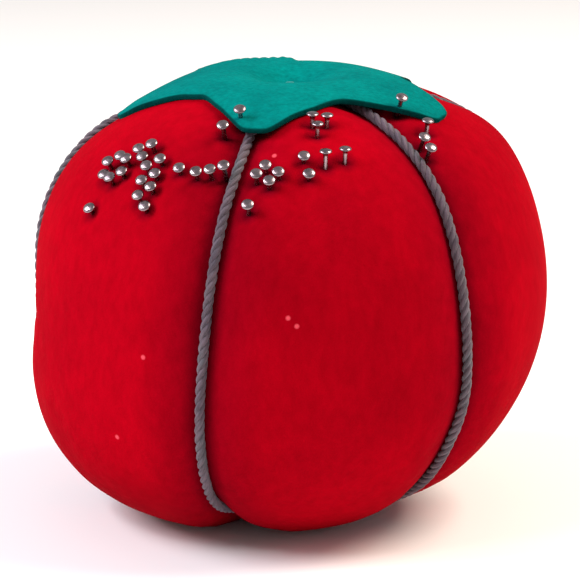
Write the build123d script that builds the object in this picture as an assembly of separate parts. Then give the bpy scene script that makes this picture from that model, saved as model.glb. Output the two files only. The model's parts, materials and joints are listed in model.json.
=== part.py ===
from build123d import *
import os
from math import asin, ceil, cos, exp, pi, radians, sin, tan

# A tomato pincushion: six sewn cloth gores over wool stuffing, laced with cord down every
# seam, a felt calyx tacked on top, and steel pins pushed into it.  Millimetres, +Z up.
# The origin is on the table, under the middle of the cushion.  Azimuths are in degrees,
# 0 towards -Y (the front) and 90 towards +X; polar angles are in degrees, 0 straight up.

# Cushion
CUSHION_RADIUS = 35.0      # at the widest level
HEIGHT_ABOVE = 31.0        # widest level to the top, before the dimple
DEPTH_BELOW = 30.4         # widest level to the underside, before the table flattens it
WIDEST_Z = 29.2
UPPER_FULLNESS = 2.45      # 2 is an ellipse, more is squarer
LOWER_FULLNESS = 2.4
TOP_DIMPLE = 3.0
BOTTOM_DIMPLE = 5.5
DIMPLE_RADIUS = 5.0
SLUMP = 5.2                # how far the lower half sags towards -X
SLUMP_CORE = 12.0          # the sag fades out inside this radius
COVER_THICKNESS = 0.7
GAP = 0.1                  # between pieces that touch
SEAM_AZIMUTHS = (-98.0, -15.0, 40.0, 106.0, 158.0, 210.0)

# Lacing cord
CORD_RADIUS = 0.75
CORD_LIFT = 0.2            # clearance between the cord and the bottom of its groove
DIMPLE_LIFT = 0.3          # more of it on the steep side of the bottom dimple
DIMPLE_POLAR = 160.0
CORE_RING = 1.72           # radius of the ring of strands inside the core
CORE_GAP = 0.42            # the sag draws one side of the core in a little
CORE_RADIUS = CORE_RING + CORD_RADIUS + CORE_GAP
CORNER_POLAR = 4.2         # level at which the cord turns out of the core, above
FOOT_CORNER_POLAR = 175.0  # and below
GROOVE_DEPTH = 1.85
GROOVE_FOOT_DEPTH = 0.8    # extra depth under the cushion, so that the cord clears the table
GROOVE_WIDTH = 2.0
LAP_GAP = 0.3
CORE_BEND = 1.0

# Seam thread
THREAD_RADIUS = 0.2
THREAD_GAP = 0.18          # between the thread and the cover
SEAM_ALLOWANCE = 1.1       # room that the turned-in seam takes out of the stuffing
SEAM_ALLOWANCE_WIDTH = 1.3

# Calyx
FELT_THICKNESS = 1.0
FELT_GAP = 0.2
NOTCH_RADIUS = 15.3
LEAF_TIP_WIDTH = 3.6
LEAVES = ((-85.0, 24.0), (-12.0, 22.2), (64.0, 23.5), (134.0, 22.5), (206.0, 22.5))
TACK_RADIUS = 0.18
TACK_REACH = 0.55
TACK_DEPTH = 7.0
TACK_HEIGHTS = (0.28, 0.70)    # of the two crossed staples above the felt
TACK_BEND = 0.3

# Knot in the bottom dimple
KNOT_WIDTH = 4.4
KNOT_HEIGHT = 2.4
KNOT_Z = 1.9
TAIL_LENGTH = 2.6
TAIL_RADIUS = 0.6

# Pins
PIN_LENGTH = 27.0
SHANK_RADIUS = 0.3
CHANNEL_RADIUS = 0.36
HEAD_RADIUS = 0.82
HEAD_THICKNESS = 0.35
NECK_LENGTH = 0.6
POINT_LENGTH = 3.0
PIN_GRIP = 2.0             # length still in the cushion when a pin is drawn right out
SEARCH_REACH = 9.0         # either side of a pin's given place, for where it meets the cushion
CLEAR_OF_SEAM = 30.0       # degrees from a seam at which the grooves have no effect
RING_PINS = 6
RING_RADIUS = 1.8
AIM_POINT = Vector(0, 25, -10)    # pins are pushed in roughly towards this point


def ring_offsets():
    step = 2 * pi / RING_PINS
    return [(RING_RADIUS * sin(i * step), RING_RADIUS * cos(i * step), 1.2 + 0.3 * (i % 2))
            for i in range(RING_PINS)]


# Each group: azimuth and polar angle of its middle on the cushion, how much steeper than the
# aim its pins stand, whether they go through the felt, and for each pin its offset across
# and up, and how far the head stands out.
PIN_GROUPS = (
    (-52.5, 53.0, 0.0, False, ring_offsets()),
    (-45.8, 48.0, 0.0, False, ((-1.0, 0.6, 1.3), (0.1, -0.8, 1.2), (1.0, 0.9, 1.6))),
    (-39.0, 53.5, 0.0, False, ((0.9, 2.6, 1.3), (-0.7, 1.5, 1.5), (0.8, 0.4, 1.2),
                               (-0.8, -0.6, 1.4), (0.8, -1.6, 1.3), (-0.7, -2.8, 1.5))),
    (-36.5, 60.0, 0.0, False, ((0.0, 0.0, 1.2),)),
    (-31.0, 50.5, 0.0, False, ((0.0, 0.0, 1.2),)),
    (-54.0, 63.0, 0.0, False, ((0.0, 0.0, 1.2),)),
    (-23.5, 38.5, 0.0, False, ((0.0, 0.0, 1.8),)),
    (-19.5, 34.0, 0.0, True, ((0.0, 0.0, 1.2),)),
    (-21.5, 50.0, 0.0, False, ((-2.0, -0.3, 1.3), (-0.2, 0.0, 1.2), (1.6, 0.3, 1.5))),
    (-6.0, 50.5, 0.0, False, ((-1.4, 0.0, 1.3), (-0.3, 1.4, 1.2), (1.4, 0.2, 1.4), (0.3, -1.2, 1.5))),
    (-10.0, 58.0, 0.0, False, ((0.0, 0.0, 1.6),)),
    (4.0, 46.0, 0.0, False, ((0.0, 0.0, 1.3),)),
    (5.0, 50.5, 0.0, False, ((0.0, 0.0, 1.3),)),
    (10.0, 47.5, 28.0, False, ((0.0, 0.0, 2.3),)),
    (16.0, 46.5, 28.0, False, ((0.0, 0.0, 2.0),)),
    (11.5, 35.0, 25.0, False, ((-1.0, 0.0, 1.8), (0.9, 0.0, 1.7))),
    (9.5, 38.5, 25.0, False, ((0.0, 0.0, 1.9),)),
    (51.0, 33.0, 0.0, True, ((0.0, 0.0, 1.3),)),
    (52.0, 41.0, 20.0, False, ((0.0, 0.0, 1.7),)),
    (45.0, 45.5, 0.0, False, ((-0.1, 1.0, 1.3), (0.1, -0.9, 1.3))),
)


def squareness(radius_ratio, height_ratio, power):
    return (radius_ratio ** power + height_ratio ** power) ** (-1 / power)


def surface_radius(polar):
    # Distance from the middle of the cushion to its dimpled surface, grooves left out
    across = sin(radians(polar))
    up = cos(radians(polar))
    if up > 0:
        full = squareness(across / CUSHION_RADIUS, up / HEIGHT_ABOVE, UPPER_FULLNESS)
        dimple = TOP_DIMPLE
    else:
        full = squareness(across / CUSHION_RADIUS, -up / DEPTH_BELOW, LOWER_FULLNESS)
        dimple = BOTTOM_DIMPLE
    return full - dimple * exp(-((full * across / DIMPLE_RADIUS) ** 2))


def groove_depth(polar, aside):
    # aside is the distance from the seam's plane
    foot = max(0.0, -cos(radians(polar))) ** 4
    deepest = GROOVE_DEPTH + GROOVE_FOOT_DEPTH * foot
    return deepest * exp(-((aside / GROOVE_WIDTH) ** 2))


def seam_room(aside):
    return SEAM_ALLOWANCE * exp(-((aside / SEAM_ALLOWANCE_WIDTH) ** 2))


def slumped(radius, z, azimuth):
    below = max(0.0, (WIDEST_Z - z) / DEPTH_BELOW)
    sag = SLUMP * below ** 1.2 * (1 - exp(-((radius / SLUMP_CORE) ** 2)))
    return radius - sag * sin(radians(azimuth))


def place(radius, z, azimuth):
    turn = radians(azimuth)
    return Vector(radius * sin(turn), -radius * cos(turn), z)


def section_point(polar, azimuth, from_seam, inset, room=0.0):
    # A point inset below the grooved surface, from_seam degrees away from the nearest seam
    reach = surface_radius(polar)
    aside = reach * sin(radians(polar)) * sin(radians(from_seam))
    reach -= groove_depth(polar, aside) + inset
    if room:
        reach -= seam_room(aside)
    radius = reach * sin(radians(polar))
    z = WIDEST_Z + reach * cos(radians(polar))
    return place(slumped(radius, z, azimuth), z, azimuth)


def core_polar(azimuth, from_seam, inset, top):
    # The polar angle at which a surface meets the wall of the core
    polar = 5.0 if top else 175.0
    for _ in range(12):
        point = section_point(polar, azimuth, from_seam, inset)
        reach = Vector(point.X, point.Y, point.Z - WIDEST_Z).length
        angle = asin(CORE_RADIUS / reach) * 180 / pi
        polar = angle if top else 180 - angle
    return polar


SECTION_POLARS = (9, 13, 18, 25, 35, 47, 60, 75, 90, 105, 120, 133, 145, 155, 162, 167, 171)


def section_curve(azimuth, from_seam, inset, room=0.0):
    first = core_polar(azimuth, from_seam, inset, True)
    last = core_polar(azimuth, from_seam, inset, False)
    polars = [first] + [p for p in SECTION_POLARS if first + 2 < p < last - 2] + [last]
    return Spline(*[section_point(p, azimuth, from_seam, inset, room) for p in polars])


def shell_section(azimuth, from_seam):
    outer = section_curve(azimuth, from_seam, 0.0)
    inner = section_curve(azimuth, from_seam, COVER_THICKNESS)
    return Face(Wire([outer, Line(outer @ 1, inner @ 1), inner, Line(inner @ 0, outer @ 0)]))


def stuffing_section(azimuth, from_seam):
    outer = section_curve(azimuth, from_seam, COVER_THICKNESS + GAP, room=1.0)
    return Face(Wire([outer, Line(outer @ 1, outer @ 0)]))


SEAM_STEPS = (1.2, 2.8, 5.0, 9.0, 16.0)    # degrees from a seam, where the gore is cut
WIDEST_STEP = 14.0         # and between those cuts, across the middle of the gore


def gore(index, section, seam_gap):
    # A gore lofted through radial sections, from one seam to the next
    left = SEAM_AZIMUTHS[index]
    right = SEAM_AZIMUTHS[(index + 1) % 6]
    if right < left:
        right += 360
    width = right - left
    steps = (seam_gap,) + SEAM_STEPS
    spans = ceil((width - 2 * steps[-1]) / WIDEST_STEP)
    middle = [steps[-1] + i * (width - 2 * steps[-1]) / spans for i in range(1, spans)]
    cuts = list(steps) + middle + [width - step for step in reversed(steps)]
    return loft([section(left + cut, min(cut, width - cut)) for cut in cuts], ruled=True)


def below_table():
    return Pos(0, 0, -10) * Box(100, 100, 20)


def seat_radii(points, smallest=CORE_BEND):
    # The largest arc at each point that its two runs allow
    radii = []
    for before, here, after in zip(points, points[1:], points[2:]):
        turn = (here - before).get_angle(after - here)
        run = min((here - before).length, (after - here).length)
        radii.append(0.45 * run / tan(radians(turn / 2)))
    radii[0] = smallest
    radii[-1] = smallest
    return radii


CORD_POLARS = (9.5, 14, 19, 25, 31, 38, 45, 52, 59, 66, 73, 80, 87, 94, 101, 108, 115, 121,
               127, 133, 139, 145, 151, 157, 162, 166, 169.5)


def tube(points, radii, radius):
    path = FilletPolyline(*points, radius=radii)
    start = Plane(origin=path @ 0, z_dir=path % 0)
    return sweep(start * Circle(radius), path=path)


def cord_point(polar, azimuth):
    lift = CORD_RADIUS + CORD_LIFT + (DIMPLE_LIFT if polar > DIMPLE_POLAR else 0.0)
    return section_point(polar, azimuth, 0.0, -lift)


def cord_points(azimuth):
    # Up inside the core, out over the top, down the groove, and back under into the core
    start = place(CORE_RING, WIDEST_Z + LAP_GAP / 2, azimuth)
    top = place(CORE_RING, cord_point(CORNER_POLAR, azimuth).Z, azimuth)
    route = [cord_point(polar, azimuth) for polar in CORD_POLARS]
    bottom = place(CORE_RING, cord_point(FOOT_CORNER_POLAR, azimuth).Z, azimuth)
    end = place(CORE_RING, WIDEST_Z - LAP_GAP / 2, azimuth)
    return [start, top] + route + [bottom, end]


def cord_lap(azimuth):
    points = cord_points(azimuth)
    return tube(points, seat_radii(points), CORD_RADIUS)


THREAD_POLARS = (11, 15, 20, 26, 33, 40, 48, 56, 64, 72, 80, 88, 96, 104, 112, 120, 127,
                 134, 141, 148, 154, 160, 165, 169)


def seam_line(azimuth):
    depth = COVER_THICKNESS + THREAD_GAP + THREAD_RADIUS
    points = [section_point(p, azimuth, 0.0, depth) for p in THREAD_POLARS]
    radii = seat_radii(points)
    radii[0] = radii[1] / 2
    radii[-1] = radii[-2] / 2
    return tube(points, radii, THREAD_RADIUS)


def felt_curve(height):
    # The calyx lies over the dimpled top and bridges the grooves
    polars = (1.0, 2.5, 5, 7.5, 10, 13, 17, 22, 28, 36, 46)
    points = []
    for polar in polars:
        reach = surface_radius(polar) + height
        points.append(Vector(reach * sin(radians(polar)), 0, WIDEST_Z + reach * cos(radians(polar))))
    return Spline(*points, tangents=[(1, 0, 0), points[-1] - points[-2]])


def felt_blank():
    low = felt_curve(FELT_GAP)
    high = felt_curve(FELT_GAP + FELT_THICKNESS)
    low_middle = Line((0, 0, (low @ 0).Z), low @ 0)
    high_middle = Line(high @ 0, (0, 0, (high @ 0).Z))
    rim = Line(low @ 1, high @ 1)
    axle = Line(high_middle @ 1, low_middle @ 0)
    return revolve(Face(Wire([low_middle, low, rim, high, high_middle, axle])), Axis.Z)


def star():
    # Five leaves with blunt tips, drawn flat
    corners = []
    for index, (azimuth, reach) in enumerate(LEAVES):
        following = LEAVES[(index + 1) % 5][0] + (360 if index == 4 else 0)
        half_tip = LEAF_TIP_WIDTH / 2 / reach * 180 / pi
        corners.append(place(reach, 0, azimuth - half_tip))
        corners.append(place(reach, 0, azimuth + half_tip))
        corners.append(place(NOTCH_RADIUS, 0, (azimuth + following) / 2))
    outline = make_face(Polyline(*corners, close=True))
    return fillet(outline.vertices(), 0.9)


def calyx():
    cutter = Pos(0, 0, WIDEST_Z) * extrude(star(), amount=HEIGHT_ABOVE + 5)
    return felt_blank() & cutter


def tack_legs():
    # A cross stitch: two staples of thread at right angles, one over the other
    top = WIDEST_Z + surface_radius(0) + FELT_GAP + FELT_THICKNESS
    staples = []
    for turn, height in zip((0, 90), TACK_HEIGHTS):
        points = [place(TACK_REACH, top - TACK_DEPTH, turn), place(TACK_REACH, top + height, turn),
                  place(-TACK_REACH, top + height, turn), place(-TACK_REACH, top - TACK_DEPTH, turn)]
        staples.append(tube(points, TACK_BEND, TACK_RADIUS))
    return staples


def tack_holes():
    hole = Pos(0, 0, WIDEST_Z + HEIGHT_ABOVE) * Cylinder(TACK_RADIUS + 0.06, 20)
    return [Pos(place(TACK_REACH, 0, turn)) * hole for turn in (0, 90, 180, 270)]


def tie_knot():
    knot = scale(Sphere(KNOT_WIDTH / 2), by=(1, 1, KNOT_HEIGHT / KNOT_WIDTH))
    tails = []
    for turn in (35, -120):
        root = place(KNOT_WIDTH / 2 - 0.6, -0.1, turn)
        tip = place(KNOT_WIDTH / 2 - 0.6 + TAIL_LENGTH, -0.55, turn + 20)
        lay = Plane(origin=root, z_dir=tip - root)
        tails.append(lay * Pos(0, 0, TAIL_LENGTH / 2) * Cylinder(TAIL_RADIUS, TAIL_LENGTH))
    return Pos(0, 0, KNOT_Z) * (knot + tails)


def surface_hit(point, direction):
    # Where a line through point meets the cushion's outside
    low, high = -SEARCH_REACH, SEARCH_REACH
    middle = Vector(0, 0, WIDEST_Z)
    for _ in range(40):
        step = (low + high) / 2
        arm = point + direction * step - middle
        polar = arm.get_angle(Vector(0, 0, 1))
        if arm.length < surface_radius(polar):
            low = step
        else:
            high = step
    return point + direction * low


def pin_places():
    # For every pin: its number, entry point, outward direction, how far its head stands out
    # of the cushion, and the thickness of felt it goes through
    places = []
    for azimuth, polar, lean, felt, offsets in PIN_GROUPS:
        middle = section_point(polar, azimuth, CLEAR_OF_SEAM, 0.0)
        aim = (middle - AIM_POINT).normalized()
        across = aim.cross(Vector(0, 0, 1)).normalized() * -1
        axis = aim.rotate(Axis((0, 0, 0), across), -lean)
        up = axis.cross(across)
        cover = 1.1 * (FELT_GAP + FELT_THICKNESS) if felt else 0.0
        for right, above, proud in offsets:
            entry = surface_hit(middle + across * right + up * above, axis)
            places.append((len(places) + 1, entry, axis, proud + cover, cover))
    return places


def push_in(proud, cover):
    return proud - cover - HEAD_THICKNESS - NECK_LENGTH - GAP


def pin_profile():
    # Half outline of a pin, head at the origin and point towards -Z
    neck_end = -HEAD_THICKNESS - NECK_LENGTH
    tip = -PIN_LENGTH
    outline = Polyline((0, 0, 0), (HEAD_RADIUS * 0.7, 0, 0), (HEAD_RADIUS, 0, -0.15),
                       (HEAD_RADIUS, 0, -HEAD_THICKNESS), (SHANK_RADIUS, 0, neck_end),
                       (SHANK_RADIUS, 0, tip + POINT_LENGTH), (0.04, 0, tip), (0, 0, tip), close=True)
    return make_face(outline)


def pin(entry, axis, proud):
    body = revolve(pin_profile(), Axis.Z)
    return Plane(origin=entry + axis * proud, z_dir=axis) * body


def channel(entry, axis, proud, cover):
    # The way the shank takes, as deep as the pin can be pushed
    depth = PIN_LENGTH - proud + push_in(proud, cover) + 0.4
    lay = Plane(origin=entry + axis * 3, z_dir=axis * -1)
    return lay * Pos(0, 0, (depth + 3) / 2) * Cylinder(CHANNEL_RADIUS, depth + 3)


def in_gore(index, point):
    left = SEAM_AZIMUTHS[index]
    right = SEAM_AZIMUTHS[(index + 1) % 6]
    azimuth = Vector(0, -1, 0).get_signed_angle(Vector(point.X, point.Y, 0), Vector(0, 0, 1))
    return left < azimuth < right


def save(shape, name):
    shape.label = name
    export_step(shape, f"parts/{name}.step")


def main():
    os.makedirs("parts", exist_ok=True)
    pins = pin_places()
    channels = [(entry, cover, channel(entry, axis, proud, cover))
                for _, entry, axis, proud, cover in pins]

    wool = gore(0, stuffing_section, 0.0)
    for index in range(1, 6):
        wool += gore(index, stuffing_section, 0.0)
    save(wool - [hole for _, _, hole in channels], "stuffing")

    for index in range(6):
        panel = gore(index, shell_section, 0.1) - below_table()
        holes = [hole for entry, _, hole in channels if in_gore(index, entry)]
        save(panel - holes if holes else panel, f"cover_panel_{index + 1}")

    save(Compound([seam_line(azimuth) for azimuth in SEAM_AZIMUTHS]), "seam_stitching")
    for index, azimuth in enumerate(SEAM_AZIMUTHS):
        save(cord_lap(azimuth), f"segment_cord_{index + 1}")
    save(tie_knot(), "tie_knot")

    felt_holes = [hole for _, cover, hole in channels if cover]
    save(calyx() - tack_holes() - felt_holes, "calyx")
    save(Compound(tack_legs()), "calyx_tack")

    for number, entry, axis, proud, _ in pins:
        save(pin(entry, axis, proud), f"pin_{number:02d}")


main()
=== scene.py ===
import json
import math
import random

import bpy
import numpy as np
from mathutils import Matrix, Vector
from mathutils.bvhtree import BVHTree

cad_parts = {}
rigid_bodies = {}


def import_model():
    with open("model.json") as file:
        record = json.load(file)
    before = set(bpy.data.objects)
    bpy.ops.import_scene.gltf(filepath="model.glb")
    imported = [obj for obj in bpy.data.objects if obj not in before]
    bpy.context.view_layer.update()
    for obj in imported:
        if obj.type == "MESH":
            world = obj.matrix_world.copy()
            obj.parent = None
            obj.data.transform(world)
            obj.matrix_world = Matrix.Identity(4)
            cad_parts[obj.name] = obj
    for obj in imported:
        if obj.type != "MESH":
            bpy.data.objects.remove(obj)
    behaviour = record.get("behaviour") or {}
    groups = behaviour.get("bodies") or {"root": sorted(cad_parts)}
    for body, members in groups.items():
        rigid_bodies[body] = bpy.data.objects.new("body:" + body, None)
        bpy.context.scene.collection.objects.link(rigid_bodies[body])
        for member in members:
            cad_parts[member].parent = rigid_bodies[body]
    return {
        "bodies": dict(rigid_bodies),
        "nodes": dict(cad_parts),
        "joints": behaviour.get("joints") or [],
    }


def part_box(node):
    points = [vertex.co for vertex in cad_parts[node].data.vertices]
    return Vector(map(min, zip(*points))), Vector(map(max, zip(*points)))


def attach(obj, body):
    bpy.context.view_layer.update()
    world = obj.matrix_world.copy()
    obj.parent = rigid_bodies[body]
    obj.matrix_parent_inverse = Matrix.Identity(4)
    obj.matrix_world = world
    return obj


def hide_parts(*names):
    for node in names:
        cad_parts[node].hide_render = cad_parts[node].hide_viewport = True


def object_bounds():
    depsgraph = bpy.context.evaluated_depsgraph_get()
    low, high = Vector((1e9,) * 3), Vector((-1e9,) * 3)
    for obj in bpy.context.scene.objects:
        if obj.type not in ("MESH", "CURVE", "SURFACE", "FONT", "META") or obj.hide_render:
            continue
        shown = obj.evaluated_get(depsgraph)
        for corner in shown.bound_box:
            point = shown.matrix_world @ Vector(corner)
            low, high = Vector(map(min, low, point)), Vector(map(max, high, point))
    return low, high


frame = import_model()
CAD_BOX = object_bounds()

MM = 0.001
NODES = frame["nodes"]
CUSHION = "cushion"

# The cushion's own measures, read from the frame
LOW, HIGH = CAD_BOX
MIDDLE = Vector((0, 0, 29.2 * MM))            # the widest level
WIDEST = (HIGH.x - LOW.x) / 2
CORD_NODES = [f"segment_cord_{i}" for i in range(1, 7)]
PANEL_NODES = [f"cover_panel_{i}" for i in range(1, 7)]
PIN_BODIES = sorted(b for b in frame["bodies"] if b.startswith("pin_"))
FLAT_LAYER = "flat"          # the meshes' own flat coordinates, in metres

# Lacing cord
CORD_RADIUS = 0.68 * MM
PLIES = 3
PLY_PITCH = 4.2 * MM
SEAMS = (-98.0, -15.0, 40.0, 106.0, 158.0, 210.0)     # azimuths of the grooves, as in the CAD

# How far each lap strays from its plane, in degrees, at these polar angles. The tables are
# read at a spread of angles and averaged, so that a lap bends without a corner.
WANDER_POLARS = (20, 47, 55, 65, 80, 95, 106, 118, 130, 142, 160)
WANDER = (
    (-9, -7, -2, 3, 6, 6.5, 6, 5, 3, 1, 0),
    (0, 0, -1.3, -1.9, -3.2, -4.5, -5.4, -6.2, -7.3, -8, -8),
    (0, 1.6, 1.8, 1.2, 1.5, 3.0, 4.6, 4.0, 7.5, 12, 12),
    (0, 1.5, 2.0, 1.2, 0.4, -0.8, -1.6, -2.2, -2, -1, 0),
    (-2, -1.5, -0.5, 1, 2.2, 2, 1, 0, -1.4, -2, -1),
    (1, 0.4, -1, -2, -1.8, -0.6, 0.8, 1.8, 2.2, 1.4, 0),
)
WANDER_SPREAD = (-6, -3, 0, 3, 6)


# ---------------------------------------------------------------- helpers

def new_mesh(name, points, faces):
    mesh = bpy.data.meshes.new(name)
    mesh.from_pydata([tuple(p) for p in points], [], faces)
    mesh.validate()
    for polygon in mesh.polygons:
        polygon.use_smooth = True
    obj = bpy.data.objects.new(name, mesh)
    bpy.context.scene.collection.objects.link(obj)
    return obj


def apply_modifiers(obj):
    depsgraph = bpy.context.evaluated_depsgraph_get()
    mesh = bpy.data.meshes.new_from_object(obj.evaluated_get(depsgraph))
    obj.modifiers.clear()
    obj.data = mesh


def direction(azimuth, polar):
    turn, tilt = np.radians(azimuth), np.radians(polar)
    return np.array([np.sin(tilt) * np.sin(turn), -np.sin(tilt) * np.cos(turn), np.cos(tilt)])


def turned(angle):
    # The same angle between -180 and 180 degrees
    return (angle + 180) % 360 - 180


def tree_of(names):
    points, faces = [], []
    for name in names:
        mesh = NODES[name].data
        start = len(points)
        points += [v.co.copy() for v in mesh.vertices]
        faces += [[start + i for i in p.vertices] for p in mesh.polygons]
    return BVHTree.FromPolygons(points, faces)


def set_input(node, name, value):
    node.inputs[name].default_value = value


# ---------------------------------------------------------------- materials

# Azimuth and polar angle of each fleck of lint on the cushion
LINT = ((-32.3, 90.6), (-40.8, 109.4), (1.4, 81.7), (-0.4, 80.0), (-4.8, 44.1))
LINT_COLOUR = (0.75, 0.07, 0.1, 1)
SPECK_FINENESS = 50           # the more, the smaller the flecks
# Widths of the painted shade along the seams, of the painted shade round the pins and of the
# painted shade along the felt's edge
SEAM_SHADE_WIDTH = 9 * MM
PIN_SHADE_WIDTH = 4 * MM
PAINTED_EDGE_SHADE_WIDTH = 4 * MM


def start_material(name, roughness, sheen=0.0, sheen_roughness=0.5, sheen_tint=(1, 1, 1),
                   metallic=0.0):
    material = bpy.data.materials.new(name)
    material.use_nodes = True
    shader = material.node_tree.nodes["Principled BSDF"]
    set_input(shader, "Roughness", roughness)
    set_input(shader, "Metallic", metallic)
    set_input(shader, "Sheen Weight", sheen)
    set_input(shader, "Sheen Roughness", sheen_roughness)
    set_input(shader, "Sheen Tint", (*sheen_tint, 1))
    return material, material.node_tree, shader


def noise(tree, scale, detail=4.0, flat=False, stretch=(1, 1, 1)):
    if flat:
        place = flat_coordinates(tree)
    else:
        place = tree.nodes.new("ShaderNodeTexCoord").outputs["Object"]
    mapping = tree.nodes.new("ShaderNodeMapping")
    texture = tree.nodes.new("ShaderNodeTexNoise")
    tree.links.new(place, mapping.inputs["Vector"])
    tree.links.new(mapping.outputs["Vector"], texture.inputs["Vector"])
    set_input(mapping, "Scale", stretch)
    set_input(texture, "Scale", scale)
    set_input(texture, "Detail", detail)
    return texture.outputs["Fac"]


def flat_coordinates(tree):
    node = tree.nodes.new("ShaderNodeUVMap")
    node.uv_map = FLAT_LAYER
    return node.outputs["UV"]


def separate(tree, vector):
    node = tree.nodes.new("ShaderNodeSeparateXYZ")
    tree.links.new(vector, node.inputs[0])
    return node.outputs["X"], node.outputs["Y"]


def scaled(tree, source, factor):
    return sum_of(tree, (source, factor))


def speck(tree, azimuth, polar):
    """1 within a fleck of lint on the cushion, in this direction from its middle."""
    place = tree.nodes.new("ShaderNodeTexCoord")
    offset = tree.nodes.new("ShaderNodeVectorMath")
    unit = tree.nodes.new("ShaderNodeVectorMath")
    gap = tree.nodes.new("ShaderNodeVectorMath")
    offset.operation, unit.operation, gap.operation = "SUBTRACT", "NORMALIZE", "DISTANCE"
    offset.inputs[1].default_value = MIDDLE
    gap.inputs[1].default_value = direction(azimuth, polar)
    tree.links.new(place.outputs["Object"], offset.inputs[0])
    tree.links.new(offset.outputs["Vector"], unit.inputs[0])
    tree.links.new(unit.outputs["Vector"], gap.inputs[0])
    near = scaled(tree, gap.outputs["Value"], SPECK_FINENESS)
    return ramp(tree, near, ((0.25, (1, 1, 1)), (0.55, (0, 0, 0))))


def ramp(tree, source, stops):
    node = tree.nodes.new("ShaderNodeValToRGB")
    tree.links.new(source, node.inputs["Fac"])
    node.color_ramp.elements[0].position = stops[0][0]
    node.color_ramp.elements[0].color = (*stops[0][1], 1)
    node.color_ramp.elements[1].position = stops[-1][0]
    node.color_ramp.elements[1].color = (*stops[-1][1], 1)
    for position, colour in stops[1:-1]:
        node.color_ramp.elements.new(position).color = (*colour, 1)
    return node.outputs["Color"]


def mix(tree, factor, first, second, kind="MIX"):
    node = tree.nodes.new("ShaderNodeMix")
    node.data_type = "RGBA"
    node.blend_type = kind
    for source, socket in ((factor, 0), (first, 6), (second, 7)):
        if isinstance(source, bpy.types.NodeSocket):
            tree.links.new(source, node.inputs[socket])
        else:
            node.inputs[socket].default_value = source
    return node.outputs[2]


def sum_of(tree, *weighted):
    total = None
    for source, weight in weighted:
        node = tree.nodes.new("ShaderNodeMath")
        node.operation = "MULTIPLY_ADD"
        tree.links.new(source, node.inputs[0])
        node.inputs[1].default_value = weight
        if total is None:
            node.inputs[2].default_value = 0.0
        else:
            tree.links.new(total, node.inputs[2])
        total = node.outputs[0]
    return total


def bump(tree, shader, height, distance, strength=1.0):
    node = tree.nodes.new("ShaderNodeBump")
    tree.links.new(height, node.inputs["Height"])
    set_input(node, "Distance", distance)
    set_input(node, "Strength", strength)
    tree.links.new(node.outputs["Normal"], shader.inputs["Normal"])


def cover_material():
    material, tree, shader = start_material("red_brushed_cotton", 0.9, 0.03, 0.35,
                                            (1.0, 0.04, 0.06))
    set_input(shader, "Specular IOR Level", 0.012)
    blotches = ramp(tree, noise(tree, 60, 3),
                    ((0.3, (0.31, 0.0, 0.006)), (0.7, (0.41, 0.0, 0.007))))
    nap = ramp(tree, noise(tree, 800, 5, stretch=(1, 1, 0.5)),
               ((0.3, (0.84, 0.8, 0.8)), (0.7, (1, 1, 1))))
    red = mix(tree, 1.0, blotches, nap, "MULTIPLY")
    from_seam, from_pin = separate(tree, flat_coordinates(tree))
    # Painted shade: the cloth darkens towards each seam, standing in for the shade in the groove
    # under the cord
    painted_seam_shade = ramp(tree, scaled(tree, from_seam, 1 / SEAM_SHADE_WIDTH),
                 ((0.08, (0.42, 0.3, 0.9)), (0.3, (0.78, 0.8, 1.0)), (1.0, (1, 1, 1))))
    red = mix(tree, 1.0, red, painted_seam_shade, "MULTIPLY")
    # Painted shade: the cloth darkens round each pin, standing in for the shadow in the dip round
    # its shank
    painted_pin_shade = ramp(tree, scaled(tree, from_pin, 1 / PIN_SHADE_WIDTH),
                ((0.10, (0.34, 0.3, 0.8)), (0.24, (0.68, 0.6, 1.0)), (0.45, (1, 1, 1))))
    red = mix(tree, 1.0, red, painted_pin_shade, "MULTIPLY")
    for azimuth, polar in LINT:
        red = mix(tree, speck(tree, azimuth, polar), red, LINT_COLOUR)
    tree.links.new(red, shader.inputs["Base Color"])
    brushed = sum_of(tree, (noise(tree, 1500, 5), 0.9), (noise(tree, 240, 4), 1.3))
    bump(tree, shader, brushed, 0.10 * MM, 0.8)
    return material


def cord_material():
    material, tree, shader = start_material("grey_twisted_cotton", 0.85, 0.15, 0.5,
                                            (0.9, 0.85, 0.9))
    grey = ramp(tree, noise(tree, 160, 3),
                ((0.3, (0.066, 0.053, 0.076)), (0.5, (0.118, 0.086, 0.110)),
                 (0.75, (0.080, 0.105, 0.118))))
    fibre = ramp(tree, noise(tree, 1, 4, True, (2600, 500, 1)),
                 ((0.3, (0.5, 0.5, 0.5)), (0.7, (1.25, 1.2, 1.2))))
    tree.links.new(mix(tree, 1.0, grey, fibre, "MULTIPLY"), shader.inputs["Base Color"])
    strands = sum_of(tree, (noise(tree, 1, 3, True, (3600, 600, 1)), 1.0),
                     (noise(tree, 1800, 4), 0.5))
    bump(tree, shader, strands, 0.12 * MM)
    return material


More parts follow.
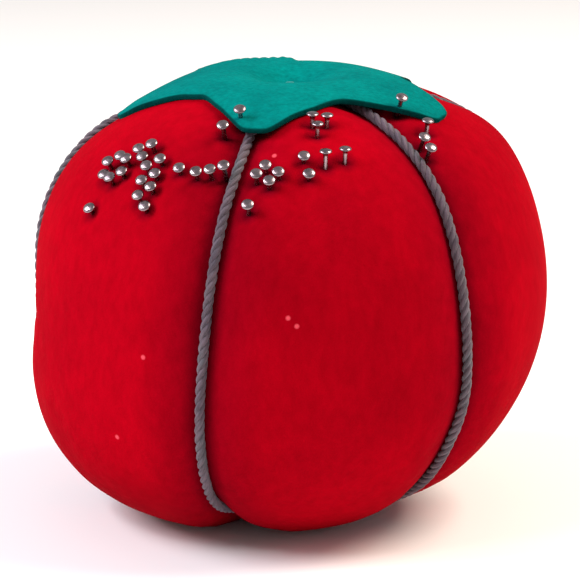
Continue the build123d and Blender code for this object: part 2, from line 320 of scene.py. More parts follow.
def felt_material():
    material, tree, shader = start_material("teal_felt", 0.9, 0.04, 0.35, (0.0, 1.0, 0.97))
    set_input(shader, "Specular IOR Level", 0.015)
    teal = ramp(tree, noise(tree, 130, 3), ((0.3, (0.0, 0.135, 0.13)), (0.7, (0.0, 0.195, 0.178))))
    fuzz = ramp(tree, noise(tree, 1500, 6), ((0.3, (0.8, 0.8, 0.8)), (0.7, (1.1, 1.1, 1.1))))
    from_edge, _ = separate(tree, flat_coordinates(tree))
    # Painted shade: the felt darkens towards its outline, standing in for the shadow along and
    # under its cut edge
    painted_edge_shade = ramp(tree, scaled(tree, from_edge, 1 / PAINTED_EDGE_SHADE_WIDTH),
               ((0.02, (0.30, 0.33, 0.32)), (0.09, (0.92, 0.94, 0.94)), (0.3, (1, 1, 1))))
    teal = mix(tree, 1.0, teal, fuzz, "MULTIPLY")
    tree.links.new(mix(tree, 1.0, teal, painted_edge_shade, "MULTIPLY"), shader.inputs["Base Color"])
    matted = sum_of(tree, (noise(tree, 2200, 6), 1.0), (noise(tree, 480, 5), 1.6))
    bump(tree, shader, matted, 0.16 * MM)
    return material


def thread_material(name, dark, light):
    material, tree, shader = start_material(name, 0.7, 0.2)
    colour = ramp(tree, noise(tree, 1400, 3), ((0.3, dark), (0.7, light)))
    tree.links.new(colour, shader.inputs["Base Color"])
    bump(tree, shader, noise(tree, 4000, 3), 0.05 * MM)
    return material


def wool_material():
    material, tree, shader = start_material("packed_wool", 0.95, 0.4)
    colour = ramp(tree, noise(tree, 300, 6), ((0.3, (0.36, 0.30, 0.22)), (0.7, (0.62, 0.55, 0.43))))
    tree.links.new(colour, shader.inputs["Base Color"])
    bump(tree, shader, noise(tree, 700, 8), 0.5 * MM)
    return material


def steel_material():
    material, tree, shader = start_material("polished_steel", 0.24, metallic=1.0)
    # The steel's own grey, darkened and tinted pink as a painted reflection of the red cloth and a
    # dim room
    steel_grey_and_painted_reflection = ramp(tree, noise(tree, 1200, 4), ((0.3, (0.21, 0.17, 0.19)), (0.7, (0.37, 0.30, 0.32))))
    tree.links.new(steel_grey_and_painted_reflection, shader.inputs["Base Color"])
    worn = ramp(tree, noise(tree, 2600, 5), ((0.3, (0.16, 0.16, 0.16)), (0.7, (0.36, 0.36, 0.36))))
    tree.links.new(worn, shader.inputs["Roughness"])
    bump(tree, shader, noise(tree, 3000, 3), 0.01 * MM)
    return material


# ---------------------------------------------------------------- camera, light and floor

CAMERA_TILT = math.radians(14.0)                  # above the horizon
CAMERA_DISTANCE = 0.42
CAMERA_AIM = MIDDLE + Vector((0, 0, 1.1 * MM))
CAMERA_LENS, CAMERA_SENSOR = 190, 36              # mm

FLOOR_SIZE = 3.0
FLOOR_TONE = 0.93
WORLD_LIGHT = 0.42
# Name, azimuth, elevation, distance, size, power and colour of each lamp
LAMPS = (
    ("key_right", 92, 50, 0.6, 0.30, 4.6, (1.0, 0.88, 0.74)),
    ("rim_left", -80, 38, 0.6, 0.30, 3.7, (0.95, 0.92, 1.0)),
    ("front_fill", -45, 45, 0.7, 0.10, 0.6, (1, 1, 1)),
)


def make_camera():
    camera = bpy.data.objects.new("camera", bpy.data.cameras.new("camera"))
    camera.data.lens = CAMERA_LENS
    camera.data.sensor_width = CAMERA_SENSOR
    camera.data.clip_start = 0.01
    away = Vector((0, -math.cos(CAMERA_TILT), math.sin(CAMERA_TILT)))
    camera.location = CAMERA_AIM + CAMERA_DISTANCE * away
    camera.rotation_euler = (math.pi / 2 - CAMERA_TILT, 0, 0)
    bpy.context.scene.collection.objects.link(camera)
    bpy.context.scene.camera = camera


def area_light(name, azimuth, elevation, distance, size, power, colour):
    lamp = bpy.data.objects.new(name, bpy.data.lights.new(name, "AREA"))
    lamp.data.size = size
    lamp.data.energy = power
    lamp.data.color = colour
    offset = Vector(direction(azimuth, 90 - elevation)) * distance
    lamp.location = MIDDLE + offset
    lamp.rotation_euler = (-offset).to_track_quat("-Z", "Y").to_euler()
    bpy.context.scene.collection.objects.link(lamp)


def make_stage():
    corners = [(x * FLOOR_SIZE, y * FLOOR_SIZE, 0) for x, y in ((-1, -1), (1, -1), (1, 1), (-1, 1))]
    floor = new_mesh("floor", corners, [(0, 1, 2, 3)])
    material, _, shader = start_material("pale_floor", 0.9)
    set_input(shader, "Base Color", (FLOOR_TONE, FLOOR_TONE, FLOOR_TONE, 1))
    floor.data.materials.append(material)
    world = bpy.data.worlds.new("soft_studio")
    world.use_nodes = True
    set_input(world.node_tree.nodes["Background"], "Color", (1, 1, 1, 1))
    set_input(world.node_tree.nodes["Background"], "Strength", WORLD_LIGHT)
    bpy.context.scene.world = world
    for lamp in LAMPS:
        area_light(*lamp)
    bpy.context.scene.view_settings.view_transform = "Standard"


# ---------------------------------------------------------------- cushion

# The cover is read as a grid of rows round the cushion and columns down each gore
GORE_COLUMNS = 22
COLUMN_CROWDING = 0.6         # how much the columns crowd together near the seams
ROWS = 96
TOP_POLAR, BOTTOM_POLAR = 3.0, 177.0
OUTSIDE, INSIDE = 60 * MM, 22 * MM     # the cover lies between these distances from MIDDLE
BESIDE_SEAM = 0.5             # degrees
HOLE_DEPTH = 0.12 * MM        # a reading this much lower than the next ones is a pin's hole
GROOVE_WIDTH = 2.4 * MM

# Where the cushion differs from the CAD's: height, and then polar angle, its width, azimuth
# and its width, in degrees
DROOP = (0.75 * MM, 42, 13, -105, 42)      # the left shoulder has sagged under the calyx
SWELL = (1.5 * MM, 52, 13, 108, 24)        # the right shoulder is a little fuller
RIDE_UP_POLARS = (35, 48, 75, 100)
RIDE_UP = (0, 1.25, 1.0, 0)                # mm, at those polar angles
PINCH_POLAR, PINCH_LENGTH = 144, 11        # degrees
PINCH_SHARE, PINCH_REACH = 0.5, 8          # how far the cloth is drawn in, and from how far off
PINCH_DEPTH, PINCH_WIDTH = 1.5 * MM, 3.0

# The cloth simulation, which runs at a larger scale
CLOTH_SCALE = 12.0
CLOTH_FRAMES = 18
CLOTH_CAP = 0.9 * MM          # how far a point may move
SLACK = 0.45 * MM             # the gores start this much flat, and the stuffing fills them out
CLOTH_SETTINGS = {
    "quality": 6, "mass": 0.4, "tension_stiffness": 12, "compression_stiffness": 6,
    "shear_stiffness": 4, "bending_stiffness": 0.15, "use_pressure": True,
    "uniform_pressure_force": 3.0, "shrink_min": -0.02,
}
HELD_POLARS = (12, 168)       # the gathered ends beyond these are held still
HELD_FADE = 10                # degrees
SEAM_HOLD = 0.7               # the less, the wider the strip that the lacing holds
LEAST_HOLD = 0.02

CLOTH_THICKNESS = 0.6 * MM
STUFFING_GAP = 0.1 * MM
FINE_GORES = 3                # the first three, in front, are subdivided twice
PIN_DENT, PIN_DENT_RADIUS = 0.45 * MM, 1.1 * MM
PIN_DENT_SPAN = (-6 * MM, 2 * MM)      # along the pin, from its head
FAR = 20 * MM


def strayed(seam, polar):
    spread = polar + np.array(WANDER_SPREAD)
    stray = np.interp(spread, WANDER_POLARS, WANDER[seam % 6]).mean()
    return SEAMS[seam % 6] + 360 * (seam // 6) + stray


def column_fractions():
    share = np.arange(GORE_COLUMNS) / GORE_COLUMNS
    return share - COLUMN_CROWDING * np.sin(2 * np.pi * share) / (2 * np.pi)


def read_cushion():
    """The CAD cover's outside as a grid: each row's polar angle, each column's azimuth, the
    azimuths with the seams astray, and the reaches from MIDDLE."""
    tree = tree_of(PANEL_NODES)
    polars = np.linspace(TOP_POLAR, BOTTOM_POLAR, ROWS)
    straight, bent = [], []
    for seam in range(6):
        left, right = SEAMS[seam], SEAMS[(seam + 1) % 6] + (360 if seam == 5 else 0)
        for fraction in column_fractions():
            straight.append(left + fraction * (right - left))
            bent.append([(1 - fraction) * strayed(seam, polar) + fraction * strayed(seam + 1, polar)
                         for polar in polars])
    reach = np.zeros((ROWS, len(straight)))
    for column, azimuth in enumerate(straight):
        for row, polar in enumerate(polars):
            reach[row, column] = near_reach(tree, azimuth, polar, column % GORE_COLUMNS == 0)
    fill_gaps(reach)
    return polars, np.array(straight), np.array(bent).T, reach


def near_reach(tree, azimuth, polar, at_seam):
    # At a seam the panels stand a hair apart, so the cover is read just beside it
    found = []
    for shift in ((-BESIDE_SEAM, BESIDE_SEAM) if at_seam else (0.0,)):
        ray = Vector(direction(azimuth + shift, polar))
        hit = tree.ray_cast(MIDDLE + ray * OUTSIDE, -ray, OUTSIDE - INSIDE)[0]
        if hit:
            found.append((hit - MIDDLE).length)
    return min(found) if found else np.nan


def fill_gaps(reach):
    # Rays down the core miss the cover, so the nearest row that hits stands in for them.
    # Where a ray goes down a pin's hole, the rows above and below it do.
    for column in range(reach.shape[1]):
        line = reach[:, column]
        rows = np.arange(len(line))
        good = np.isfinite(line)
        line[:] = np.interp(rows, rows[good], line[good])
        middle_of_three = np.median([line[:-2], line[1:-1], line[2:]], axis=0)
        holes = line[1:-1] < middle_of_three - HOLE_DEPTH
        line[1:-1][holes] = middle_of_three[holes]


def groove_weight(straight, seams=SEAMS):
    # 1 at a seam, falling to 0 a few millimetres away from it
    gaps = np.array([[abs(turned(azimuth - seam)) for seam in seams] for azimuth in straight])
    away = np.radians(gaps.min(axis=1)) * WIDEST
    return np.exp(-((away / GROOVE_WIDTH) ** 2))


def mound(shape, polar, azimuth):
    height, middle_polar, length, middle_azimuth, width = shape
    aside = turned(azimuth - middle_azimuth)
    return height * np.exp(-((polar - middle_polar) / length) ** 2) * np.exp(-(aside / width) ** 2)


def ride_up(polars, straight):
    # Over the left shoulder the lap hasn't sunk in as far as the others
    rise = np.interp(polars, RIDE_UP_POLARS, RIDE_UP) * MM
    return rise[:, None] * groove_weight(straight, SEAMS[:1])[None]


def pinch_foot(polars, bent, reach):
    """Under the front lap the two gores close over the cord, which sinks deeper between them."""
    near = np.exp(-((polars - PINCH_POLAR) / PINCH_LENGTH) ** 2)
    seam = bent[:, GORE_COLUMNS][:, None].copy()
    aside = turned(bent - seam)
    bent -= aside * (PINCH_SHARE * near)[:, None] * np.exp(-(aside / PINCH_REACH) ** 2)
    reach -= PINCH_DEPTH * near[:, None] * np.exp(-(aside / PINCH_WIDTH) ** 2)


def grid_points(polars, bent, reach):
    tilt, turn = np.radians(polars)[:, None], np.radians(bent)
    rays = np.stack([np.sin(tilt) * np.sin(turn), -np.sin(tilt) * np.cos(turn),
                     np.cos(tilt) * np.ones_like(turn)], axis=2)
    return np.array(MIDDLE) + rays * reach[..., None]


def grid_faces(rows, columns, closed=True):
    last = columns if closed else columns - 1
    return [(r * columns + c, (r + 1) * columns + c, (r + 1) * columns + (c + 1) % columns,
             r * columns + (c + 1) % columns) for r in range(rows - 1) for c in range(last)]


def press_out(points, held):
    """Lets the stuffing press the gores out against the lacing, by a cloth simulation. held is
    1 where a point can't move, and 0 where it is free."""
    rows, columns = points.shape[:2]
    flat = points.reshape(-1, 3)
    obj = new_mesh("cloth_run", flat * CLOTH_SCALE, grid_faces(rows, columns))
    group = obj.vertex_groups.new(name="held")
    for index, weight in enumerate(held.reshape(-1)):
        if weight > LEAST_HOLD:
            group.add([index], float(weight), "REPLACE")
    cloth = obj.modifiers.new("cloth", "CLOTH")
    for setting, value in CLOTH_SETTINGS.items():
        setattr(cloth.settings, setting, value)
    cloth.settings.vertex_group_mass = "held"
    cloth.settings.effector_weights.gravity = 0
    cloth.collision_settings.use_self_collision = False
    for number in range(1, CLOTH_FRAMES + 1):
        bpy.context.scene.frame_set(number)
    apply_modifiers(obj)
    moved = np.array([v.co for v in obj.data.vertices]) / CLOTH_SCALE
    bpy.data.objects.remove(obj)
    bpy.context.scene.frame_set(1)
    step = moved - flat
    length = np.linalg.norm(step, axis=1, keepdims=True)
    step *= np.minimum(1, CLOTH_CAP / np.maximum(length, 1e-9))
    return (flat + step).reshape(points.shape)


def cover_points():
    """The cover's outside as a grid of points, with the gores filled out."""
    polars, straight, bent, reach = read_cushion()
    reach += ride_up(polars, straight) - mound(DROOP, polars[:, None], straight[None])
    reach += mound(SWELL, polars[:, None], straight[None])
    pinch_foot(polars, bent, reach)
    at_seam = groove_weight(straight)
    start = grid_points(polars, bent, reach - SLACK * (1 - at_seam)[None])
    from_end = np.minimum(polars - HELD_POLARS[0], HELD_POLARS[1] - polars)
    ends = np.clip(1 - from_end / HELD_FADE, 0, 1)
    held = np.clip(np.maximum(at_seam[None] ** SEAM_HOLD, ends[:, None]), 0, 1)
    points = press_out(start, held)
    points[..., 2] = np.maximum(points[..., 2], 0.0)
    return points


def pin_axes():
    """Head place and outward direction of every pin, from its node and its joint."""
    axes = {joint["child"]: Vector(joint["axis"]).normalized() for joint in frame["joints"]}
    found = []
    for body in PIN_BODIES:
        axis = axes[body]
        vertices = [v.co for v in NODES[body].data.vertices]
        top = max(vertices, key=lambda point: point.dot(axis))
        middle = sum(vertices, Vector()) / len(vertices)
        head = middle + axis * (top - middle).dot(axis)
        found.append((head, axis))
    return found


def press_pins(mesh, pins):
    """Each pin draws the cloth in round its shank. Returns every vertex's distance to a pin."""
    places = np.array([v.co for v in mesh.vertices])
    nearest = np.full(len(places), FAR)
    for head, axis in pins:
        arm = places - np.array(head)
        along = arm @ np.array(axis)
        aside = np.linalg.norm(arm - along[:, None] * np.array(axis), axis=1)
        near = (along > PIN_DENT_SPAN[0]) & (along < PIN_DENT_SPAN[1])
        pull = PIN_DENT * np.exp(-((aside / PIN_DENT_RADIUS) ** 2)) * near
        places -= pull[:, None] * np.array(axis)
        nearest = np.where(near, np.minimum(nearest, aside), nearest)
    places[:, 2] = np.maximum(places[:, 2], 0.0)
    mesh.vertices.foreach_set("co", places.ravel())
    mesh.update()
    return nearest


def make_cover(points, pins, material):
    rows, columns = points.shape[:2]
    for gore in range(6):
        picks = [(gore * GORE_COLUMNS + c) % columns for c in range(GORE_COLUMNS + 1)]
        patch = points[:, picks]
        faces = grid_faces(rows, len(picks), closed=False)
        obj = new_mesh(f"gore_{gore + 1}", patch.reshape(-1, 3), faces)
        add_flat_coordinates(obj, patch)
        obj.data.materials.append(material)
        smooth = obj.modifiers.new("smooth", "SUBSURF")
        smooth.levels = smooth.render_levels = 2 if gore < FINE_GORES else 1
        apply_modifiers(obj)
        nearest = press_pins(obj.data, pins)
        set_pin_gap(obj.data, nearest)
        solid = obj.modifiers.new("thickness", "SOLIDIFY")
        solid.thickness = CLOTH_THICKNESS
        solid.offset = 1.0 if face_looks_in(obj) else -1.0
        apply_modifiers(obj)
        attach(obj, CUSHION)
        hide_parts(PANEL_NODES[gore])


def face_looks_in(obj):
    # Whether a face halfway down the list has its front towards the middle of the cushion
    face = obj.data.polygons[len(obj.data.polygons) // 2]
    return face.normal.dot(face.center - MIDDLE) < 0


def add_flat_coordinates(obj, patch):
    # The gore laid flat: distance from its nearer seam, and distance down from the top
    down = np.cumsum(np.linalg.norm(np.diff(patch, axis=0, prepend=patch[:1]), axis=2), axis=0)
    across = np.cumsum(np.linalg.norm(np.diff(patch, axis=1, prepend=patch[:, :1]), axis=2), axis=1)
    across = np.minimum(across, across[:, -1:] - across)
    set_flat(obj, np.stack([across, down], axis=2).reshape(-1, 2))


def set_pin_gap(mesh, nearest):
    # Replaces the second flat coordinate by the distance to the nearest pin
    layer = mesh.uv_layers[FLAT_LAYER]
    corners = np.zeros(len(mesh.loops), dtype=np.int32)
    mesh.loops.foreach_get("vertex_index", corners)
    flat = np.zeros(2 * len(mesh.loops), dtype=np.float32)
    layer.data.foreach_get("uv", flat)
    flat[1::2] = nearest[corners]
    layer.data.foreach_set("uv", flat)


def set_flat(obj, flat):
    layer = obj.data.uv_layers.new(name=FLAT_LAYER)
    corners = np.zeros(len(obj.data.loops), dtype=np.int32)
    obj.data.loops.foreach_get("vertex_index", corners)
    layer.data.foreach_set("uv", flat[corners].astype(np.float32).ravel())


def make_stuffing(points, material):
    middle = np.array(MIDDLE)
    rays = points - middle
    reach = np.linalg.norm(rays, axis=2, keepdims=True)
    inner = middle + rays * (1 - (CLOTH_THICKNESS + PIN_DENT + STUFFING_GAP) / reach)
    rows, columns = inner.shape[:2]
    flat = list(inner.reshape(-1, 3)) + [inner[0].mean(axis=0), inner[-1].mean(axis=0)]
    faces = grid_faces(rows, columns)
    for c in range(columns):
        after = (c + 1) % columns
        faces.append((rows * columns, c, after))
        faces.append((rows * columns + 1, (rows - 1) * columns + after, (rows - 1) * columns + c))
    obj = new_mesh("wool_ball", flat, faces)
    obj.data.materials.append(material)
    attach(obj, CUSHION)
    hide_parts("stuffing")


# ---------------------------------------------------------------- cord

PLY_ORBIT = 0.47              # of the cord's radius
PLY_RADIUS, PLY_SWELL = 0.53, 0.03
PLY_SWELL_LENGTH = 2.3 * MM
PLY_GIRTH = 2.5 * MM          # once round a ply, in its flat coordinates
CORD_SPACING = 0.3 * MM
CORD_SIDES = 9
CORD_SMOOTHING = 3
CORD_GAP = 0.05 * MM          # between a lap and the cover
FLOOR_GAP = 0.1 * MM
CORE_MOUTH = 3.4 * MM         # within this radius the laps turn into the core
CORE_RING = 1.72 * MM
CORE_STEPS = (0.7, 1.8, 3.5, 6, 9)     # mm into the core, from the last point outside it

KNOT_CORD_RADIUS = 0.6 * MM
KNOT_SIZE = 0.52 * MM
KNOT_FLATNESS = 1.15
KNOT_OPENING = 0.25           # radians left out of the loop, where the tails run off
KNOT_POINTS = 60
TAIL_LENGTH, TAIL_START = 2.6 * MM, 0.3 * MM
TAIL_POINTS = 6
KNOT_FLOOR = 0.62 * MM

STITCH_LENGTH = 2.5 * MM
STITCH_WAVE = 0.09 * MM
STITCH_DEPTH = 1.05 * MM      # below the cover's outside
STITCH_ROWS_OFF = 8           # no stitches in the rows next to the ends
STITCH_SPACING = 0.5 * MM
THREAD_RADIUS = 0.16 * MM
THREAD_SIDES = 6


def resample(path, spacing):
    steps = np.linalg.norm(np.diff(path, axis=0), axis=1)
    far = np.concatenate([[0], np.cumsum(steps)])
    count = max(4, int(round(far[-1] / spacing)) + 1)
    at = np.linspace(0, far[-1], count)
    return np.stack([np.interp(at, far, path[:, k]) for k in range(3)], axis=1), at


def smooth_path(path):
    path = path.copy()
    for _ in range(CORD_SMOOTHING):
        path[1:-1] = 0.25 * path[:-2] + 0.5 * path[1:-1] + 0.25 * path[2:]
    return path


def frames_along(path):
    # Tangent, and two directions across it that turn as little as possible
    tangents = np.gradient(path, axis=0)
    tangents /= np.linalg.norm(tangents, axis=1, keepdims=True)
    across = np.zeros_like(path)
    seed = np.cross(tangents[0], [0.3, 0.5, 0.81])
    across[0] = seed / np.linalg.norm(seed)
    for i in range(1, len(path)):
        side = across[i - 1] - tangents[i] * (across[i - 1] @ tangents[i])
        across[i] = side / np.linalg.norm(side)
    return tangents, across, np.cross(tangents, across)


def tube_mesh(path, at, radius, sides, offset):
    """Points, faces and flat coordinates of a tube with closed ends. offset is the number of
    points that the mesh already has."""
    _, across, up = frames_along(path)
    turns = np.linspace(0, 2 * np.pi, sides, endpoint=False)
    ring = (np.cos(turns)[None, :, None] * across[:, None]
            + np.sin(turns)[None, :, None] * up[:, None])
    radius = np.broadcast_to(radius, len(path))
    points = path[:, None] + ring * radius[:, None, None]
    faces = [(offset + r * sides + c, offset + r * sides + (c + 1) % sides,
              offset + (r + 1) * sides + (c + 1) % sides, offset + (r + 1) * sides + c)
             for r in range(len(path) - 1) for c in range(sides)]
    faces.append(tuple(offset + c for c in reversed(range(sides))))
    faces.append(tuple(offset + (len(path) - 1) * sides + c for c in range(sides)))
    flat = np.stack(np.broadcast_arrays(turns[None] / (2 * np.pi) * PLY_GIRTH, at[:, None]), axis=2)
    return points.reshape(-1, 3), faces, flat.reshape(-1, 2)


def cord_object(name, path, radius, material, generator):
    """A cord of twisted plies along a path."""
    path, at = resample(smooth_path(path), CORD_SPACING)
    _, across, up = frames_along(path)
    lean = 2 * np.pi * at / PLY_PITCH + generator.uniform(0, 6)
    points, faces, flat = [], [], []
    for ply in range(PLIES):
        angle = lean + 2 * np.pi * ply / PLIES
        orbit = PLY_ORBIT * radius
        line = path + orbit * (np.cos(angle)[:, None] * across + np.sin(angle)[:, None] * up)
        phase = ply * 2 + generator.uniform(0, 6)
        thick = radius * (PLY_RADIUS + PLY_SWELL * np.sin(at / PLY_SWELL_LENGTH + phase))
        some_points, some_faces, some_flat = tube_mesh(line, at, thick, CORD_SIDES,
                                                       sum(map(len, points)))
        points.append(some_points)
        faces += some_faces
        flat.append(some_flat)
    obj = new_mesh(name, np.concatenate(points), faces)
    set_flat(obj, np.concatenate(flat))
    obj.data.materials.append(material)
    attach(obj, CUSHION)
    return obj


def lap_path(points, column, azimuth):
    """Up out of the core, down the groove along the cover's seam column, and back under."""
    line = points[:, column]
    lifted = line - inward_from(line) * (CORD_RADIUS + CORD_GAP)
    outside_core = lifted[np.linalg.norm(lifted[:, :2], axis=1) > CORE_MOUTH]
    outside_core[:, 2] = np.maximum(outside_core[:, 2], CORD_RADIUS + FLOOR_GAP)
    ring = CORE_RING * direction(azimuth, 90)
    top, foot = outside_core[0, 2], outside_core[-1, 2]
    rise = np.array([ring + [0, 0, top - step * MM] for step in reversed(CORE_STEPS)])
    fall = np.array([ring + [0, 0, foot + step * MM] for step in CORE_STEPS])
    return np.concatenate([rise, outside_core, fall])


def make_cords(points, material, generator):
    for seam in range(6):
        path = lap_path(points, seam * GORE_COLUMNS, SEAMS[seam])
        cord = cord_object(f"lacing_{seam + 1}", path, CORD_RADIUS, material, generator)
        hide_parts(CORD_NODES[seam])


def make_knot(material, generator):
    """A trefoil knot, laid flat, whose two ends run off as short tails."""
    low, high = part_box("tie_knot")
    middle = np.array((0.0, 0.0, (low.z + high.z) / 2))
    turns = np.linspace(KNOT_OPENING, 2 * np.pi - KNOT_OPENING, KNOT_POINTS)
    knot = np.stack([np.sin(turns) + 2 * np.sin(2 * turns), np.cos(turns) - 2 * np.cos(2 * turns),
                     -KNOT_FLATNESS * np.sin(3 * turns)], axis=1) * KNOT_SIZE
    start, end = knot[0] - knot[1], knot[-1] - knot[-2]
    reach = np.linspace(TAIL_LENGTH, TAIL_START, TAIL_POINTS)[:, None]
    first = knot[0] + start / np.linalg.norm(start) * reach
    last = knot[-1] + end / np.linalg.norm(end) * reach[::-1]
    path = middle + np.concatenate([first, knot, last])
    path[:, 2] = np.clip(path[:, 2], KNOT_FLOOR, None)
    cord = cord_object("lacing_knot", path, KNOT_CORD_RADIUS, material, generator)
    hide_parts("tie_knot")


def inward_from(points):
    inward = np.array(MIDDLE) - points
    return inward / np.linalg.norm(inward, axis=1, keepdims=True)


def make_stitching(points, material):
    """A running stitch just inside each seam."""
    parts, faces = [], []
    for seam in range(6):
        line = points[STITCH_ROWS_OFF:-STITCH_ROWS_OFF, seam * GORE_COLUMNS]
        path, at = resample(line + inward_from(line) * STITCH_DEPTH, STITCH_SPACING)
        wave = STITCH_WAVE * np.sin(2 * np.pi * at / STITCH_LENGTH)
        path += inward_from(path) * wave[:, None]
        some_points, some_faces, _ = tube_mesh(path, at, THREAD_RADIUS, THREAD_SIDES,
                                               sum(map(len, parts)))
        parts.append(some_points)
        faces += some_faces
    obj = new_mesh("seam_thread", np.concatenate(parts), faces)
    obj.data.materials.append(material)
    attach(obj, CUSHION)
    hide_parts("seam_stitching")


# ---------------------------------------------------------------- calyx

# Azimuth and reach of each leaf, in degrees and mm, and the radius of the notches between them
LEAVES = ((-85.0, 23.4), (-12.0, 21.8), (64.0, 22.8), (134.0, 22.5), (206.0, 22.5))
NOTCH = 15.3
TIP_HALF_WIDTH = 1.8
# The outline's corners are rounded by averaging over these turns, with these weights
ROUNDING = ((-2.4, 1), (-1.2, 2), (0, 3), (1.2, 2), (2.4, 1))
OUTLINE_STEP = 1.5            # degrees
OUTLINE_WAVES = (7, 11, 17, 23)
OUTLINE_WOBBLE = 0.06 * MM
FELT_RINGS = np.concatenate([[0.015, 0.04], np.linspace(0.08, 0.975, 30), [0.995, 1.0]])
FELT_THICKNESS = 0.75 * MM
FELT_SINK = 0.3 * MM          # how far it beds down below the CAD felt's upper side
PROFILE_RADII = np.arange(0.6, 23.6, 0.3) * MM
TIP_STEEPENING = 1.15         # past the CAD felt's edge

# How far each leaf's tip stands off the cushion, in mm
LEAF_LIFT = (0.0, 0.1, 0.1, 0.0, 0.0)
LEAF_ROOT = 9.0
LEAF_HALF_ANGLE = 36
CURL_HEIGHT = 0.6             # the back left leaf curls up by this much, in mm,
CURL_ROOT, CURL_RUN = 8.5, 5.0         # from this radius, over this distance
CURL_LEFT, CURL_LEFT_FADE = 31.0, 6.0  # degrees
CURL_RIGHT_FALL = 2.2
CURL_RIPPLE, CURL_RIPPLES = 0.2, 1.1
RIPPLE, RIPPLES, RIPPLE_TURN = 0.25, 5, 40
RIPPLE_RADIUS = 22


def star_corners():
    """The flat felt's corners in mm: both ends of each leaf's blunt tip, and then a notch."""
    corners = []
    for index, (azimuth, reach) in enumerate(LEAVES):
        following = LEAVES[(index + 1) % 5][0] + (360 if index == 4 else 0)
        half = math.degrees(TIP_HALF_WIDTH / reach)
        corners += [(azimuth - half, reach), (azimuth + half, reach),
                    ((azimuth + following) / 2, NOTCH)]
    return [radius * direction(azimuth, 90)[:2] for azimuth, radius in corners]


def star_reach(azimuth):
    """How far the felt reaches from its middle, in mm."""
    corners = star_corners()
    total, shares = 0.0, 0.0
    for shift, share in ROUNDING:
        ray = direction(azimuth + shift, 90)[:2]
        for first, second in zip(corners, corners[1:] + corners[:1]):
            edge = second - first
            cross = ray[0] * edge[1] - ray[1] * edge[0]
            if abs(cross) < 1e-9:
                continue
            along = (first[0] * edge[1] - first[1] * edge[0]) / cross
            part = (first[0] * ray[1] - first[1] * ray[0]) / cross
            if along > 0 and -1e-9 <= part <= 1 + 1e-9:
                total += share * along
                shares += share
                break
    return total / shares


def felt_profile():
    # Height of the CAD felt's upper side at each radius, along its longest leaf
    tree = tree_of(["calyx"])
    toward = direction(LEAVES[0][0], 90)
    heights = []
    for radius in PROFILE_RADII:
        hit = tree.ray_cast(Vector(toward * radius + [0, 0, 0.1]), Vector((0, 0, -1)))[0]
        heights.append(hit.z if hit else np.nan)
    heights = np.array(heights)
    good = np.isfinite(heights)
    return PROFILE_RADII[good], heights[good]


def make_calyx(material):
    radii, heights = felt_profile()
    slope = (heights[-1] - heights[-5]) / (radii[-1] - radii[-5])
    azimuths = np.arange(0, 360, OUTLINE_STEP)
    outline = np.array([star_reach(azimuth) for azimuth in azimuths]) * MM
    outline += sum(np.sin(np.radians(azimuths * k) + k) * OUTLINE_WOBBLE for k in OUTLINE_WAVES)
    points = []
    for fraction in FELT_RINGS:
        for azimuth, reach in zip(azimuths, outline):
            radius = fraction * reach
            height = np.interp(radius, radii, heights) - FELT_SINK
            if radius > radii[-1]:
                height += slope * TIP_STEEPENING * (radius - radii[-1])
            height += leaf_lift(azimuth, radius / MM) * MM
            polar = math.degrees(math.atan2(radius, height - MIDDLE.z))
            height -= mound(DROOP, polar, azimuth)
            points.append(direction(azimuth, 90) * radius + [0, 0, height])
    obj = new_mesh("felt_calyx", points, grid_faces(len(FELT_RINGS), len(azimuths)))
    edge_gap = (1 - FELT_RINGS)[:, None] * outline[None]
    around = np.radians(azimuths)[None] * FELT_RINGS[:, None] * outline[None]
    set_flat(obj, np.stack([edge_gap, around], axis=2).reshape(-1, 2))
    obj.data.materials.append(material)
    solid = obj.modifiers.new("thickness", "SOLIDIFY")
    solid.thickness = FELT_THICKNESS
    solid.offset = -1.0
    smooth = obj.modifiers.new("smooth", "SUBSURF")
    smooth.levels = smooth.render_levels = 1
    apply_modifiers(obj)
    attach(obj, CUSHION)
    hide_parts("calyx")


def curled_leaf(aside, radius):
    """How far the back left leaf stands up, in mm, at this angle from its middle line."""
    out = min(1.0, max(0.0, (radius - CURL_ROOT) / CURL_RUN))
    out = out * out * (3 - 2 * out)
    if aside < 0:
        hold = min(1.0, max(0.0, (CURL_LEFT + aside) / CURL_LEFT_FADE))
    else:
        hold = math.cos(math.radians(min(90.0, CURL_RIGHT_FALL * aside))) ** 2
    return CURL_HEIGHT * out * hold * (1 + CURL_RIPPLE * math.sin(CURL_RIPPLES * aside))


def leaf_lift(azimuth, radius):
    """How far the felt stands off the cushion, in mm: leaves lift towards their tips."""
    lift = 0.0
    for (middle, reach), height in zip(LEAVES, LEAF_LIFT):
        aside = abs(turned(azimuth - middle))
        if aside < LEAF_HALF_ANGLE:
            out = max(0.0, (radius - LEAF_ROOT) / (reach - LEAF_ROOT))
            across = math.radians(90 * aside / LEAF_HALF_ANGLE)
            lift += height * out ** 2 * math.cos(across) ** 2
    lift += curled_leaf(turned(azimuth - LEAVES[4][0]), radius)
    wave = math.sin(math.radians(azimuth * RIPPLES + RIPPLE_TURN))
    return lift + RIPPLE * wave * (radius / RIPPLE_RADIUS) ** 2


# ---------------------------------------------------------------- pins

PIN_SIDES = 20
PIN_LENGTH = 27.0             # mm
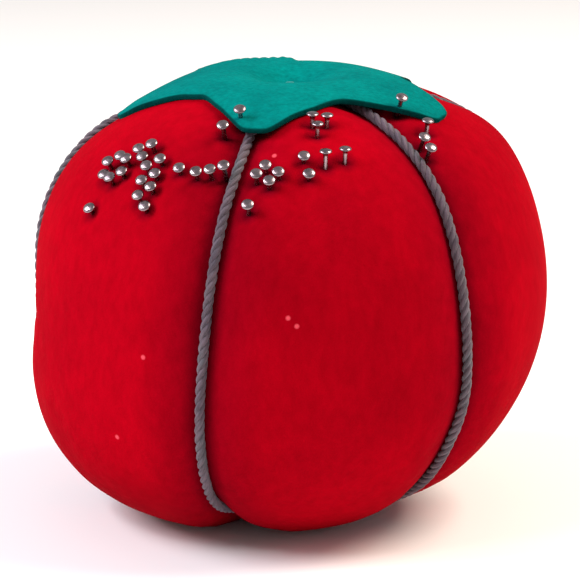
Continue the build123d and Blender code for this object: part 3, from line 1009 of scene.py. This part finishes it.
# Radius and distance below the top of the head, in mm: domed head, neck, shank and point
PIN_PROFILE = ((0.2, 0.005), (0.4, 0.035), (0.58, 0.085), (0.71, 0.15), (0.79, 0.225), (0.82, 0.30),
               (0.79, 0.37), (0.62, 0.44), (0.42, 0.58), (0.33, 0.78), (0.3, 1.0), (0.3, 12.0),
               (0.3, 24.0), (0.22, 25.2), (0.12, 26.3), (0.04, 26.95))


def make_pin(body, head, axis, material):
    across = axis.orthogonal().normalized()
    up = axis.cross(across)
    points = [head]
    for radius, below in PIN_PROFILE:
        for side in range(PIN_SIDES):
            turn = 2 * math.pi * side / PIN_SIDES
            ring = (across * math.cos(turn) + up * math.sin(turn)) * radius * MM
            points.append(head - axis * below * MM + ring)
    points.append(head - axis * PIN_LENGTH * MM)
    last = len(points) - 1
    faces = [(1 + r * PIN_SIDES + c, 1 + (r + 1) * PIN_SIDES + c,
              1 + (r + 1) * PIN_SIDES + (c + 1) % PIN_SIDES,
              1 + r * PIN_SIDES + (c + 1) % PIN_SIDES)
             for r in range(len(PIN_PROFILE) - 1) for c in range(PIN_SIDES)]
    for c in range(PIN_SIDES):
        after = (c + 1) % PIN_SIDES
        faces.append((0, 1 + c, 1 + after))
        faces.append((last, last - PIN_SIDES + after, last - PIN_SIDES + c))
    obj = new_mesh(f"steel_{body}", points, faces)
    obj.data.materials.append(material)
    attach(obj, body)
    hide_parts(body)


# ---------------------------------------------------------------- making

def main():
    generator = random.Random(7)
    make_camera()
    make_stage()
    cotton, twine, felt = cover_material(), cord_material(), felt_material()
    steel, wool = steel_material(), wool_material()
    red_thread = thread_material("red_thread", (0.2, 0.0, 0.01), (0.4, 0.01, 0.02))
    teal_thread = thread_material("teal_thread", (0.0, 0.12, 0.12), (0.01, 0.25, 0.23))

    points = cover_points()
    pins = pin_axes()
    make_cover(points, pins, cotton)
    make_stuffing(points, wool)
    make_stitching(points, red_thread)
    make_cords(points, twine, generator)
    make_knot(twine, generator)
    make_calyx(felt)
    for body, (head, axis) in zip(PIN_BODIES, pins):
        make_pin(body, head, axis, steel)
    NODES["calyx_tack"].data.materials.clear()
    NODES["calyx_tack"].data.materials.append(teal_thread)


main()
